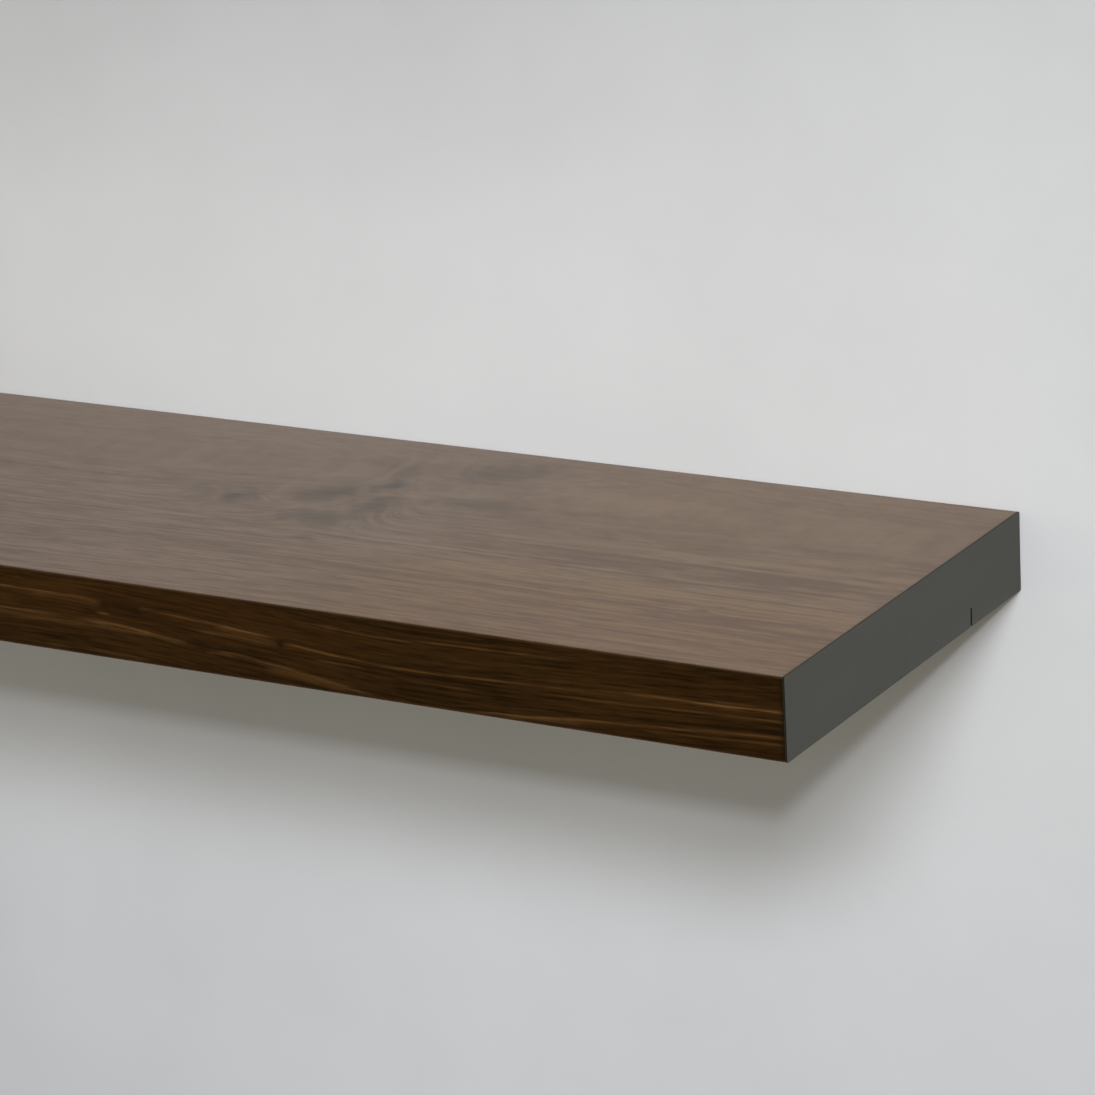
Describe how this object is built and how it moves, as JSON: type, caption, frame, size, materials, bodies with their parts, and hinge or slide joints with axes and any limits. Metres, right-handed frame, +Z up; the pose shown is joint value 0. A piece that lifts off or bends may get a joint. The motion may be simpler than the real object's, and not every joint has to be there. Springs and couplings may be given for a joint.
{
  "type": "floating wall shelf",
  "caption": "Thick floating wall shelf: hollow stained wood board with grey end caps that slides onto the rods of a hidden steel wall bracket.",
  "frame": {"origin": "centre of the wall rail's rear face, in the plane of the wall, on the rods' level and halfway along the shelf", "axes": "+X along the shelf, to the right for someone who faces the wall; +Y into the wall; +Z up"},
  "size_m": [0.8, 0.237, 0.038],
  "materials": {
    "stained_wood": "satin",
    "frame_wood": "matte",
    "core_paper": "matte",
    "grey_cap": "matte",
    "bracket_steel": "satin",
    "rod_steel": "satin",
    "weld_steel": "satin",
    "brass": "satin",
    "dark_screw_steel": "satin"
  },
  "bodies": {
    "wall_bracket": {"wall_rail": "bracket_steel", "rod_welds": "weld_steel", "support_rod_left": "rod_steel", "support_rod_centre": "rod_steel", "support_rod_right": "rod_steel"},
    "shelf": {"bottom_panel": "stained_wood", "end_rail_left": "frame_wood", "end_rail_right": "frame_wood", "front_panel": "stained_wood", "front_rail": "frame_wood", "guide_block_centre": "frame_wood", "guide_block_left": "frame_wood", "guide_block_right": "frame_wood", "lock_insert_left": "brass", "lock_insert_right": "brass", "paper_core_inner_left": "core_paper", "paper_core_inner_right": "core_paper", "paper_core_outer_left": "core_paper", "paper_core_outer_right": "core_paper", "rear_rail_inner_left": "frame_wood", "rear_rail_inner_right": "frame_wood", "rear_rail_outer_left": "frame_wood", "rear_rail_outer_right": "frame_wood", "top_panel": "stained_wood"},
    "end_cap_left": {"end_cap_left": "grey_cap"},
    "lock_pad_left": {"lock_pad_left": "brass"},
    "lock_screw_left": {"lock_screw_left": "dark_screw_steel"},
    "end_cap_right": {"end_cap_right": "grey_cap"},
    "lock_pad_right": {"lock_pad_right": "brass"},
    "lock_screw_right": {"lock_screw_right": "dark_screw_steel"}
  },
  "joints": [
    {"name": "shelf_slide", "type": "slide", "parent": "wall_bracket", "child": "shelf", "axis": [0, -1, 0], "range_m": [0, 0.2]},
    {"name": "cap_pull_left", "type": "slide", "parent": "shelf", "child": "end_cap_left", "axis": [-1, 0, 0], "range_m": [0, 0.014]},
    {"name": "lock_travel_left", "type": "slide", "parent": "shelf", "child": "lock_pad_left", "axis": [0, 0, 1], "range_m": [-0.003, 0]},
    {"name": "lock_turn_left", "type": "hinge", "parent": "lock_pad_left", "child": "lock_screw_left", "pos_m": [-0.27, -0.06, -0.012], "axis": [0, 0, 1], "range_deg": [-1080, 0]},
    {"name": "cap_pull_right", "type": "slide", "parent": "shelf", "child": "end_cap_right", "axis": [1, 0, 0], "range_m": [0, 0.014]},
    {"name": "lock_travel_right", "type": "slide", "parent": "shelf", "child": "lock_pad_right", "axis": [0, 0, 1], "range_m": [-0.003, 0]},
    {"name": "lock_turn_right", "type": "hinge", "parent": "lock_pad_right", "child": "lock_screw_right", "pos_m": [0.27, -0.06, -0.012], "axis": [0, 0, 1], "range_deg": [-1080, 0]}
  ],
  "couplings": [
    {"joint": "lock_turn_left", "follows": "lock_travel_left", "rad_per_m": 6283.2},
    {"joint": "lock_turn_right", "follows": "lock_travel_right", "rad_per_m": 6283.2}
  ]
}
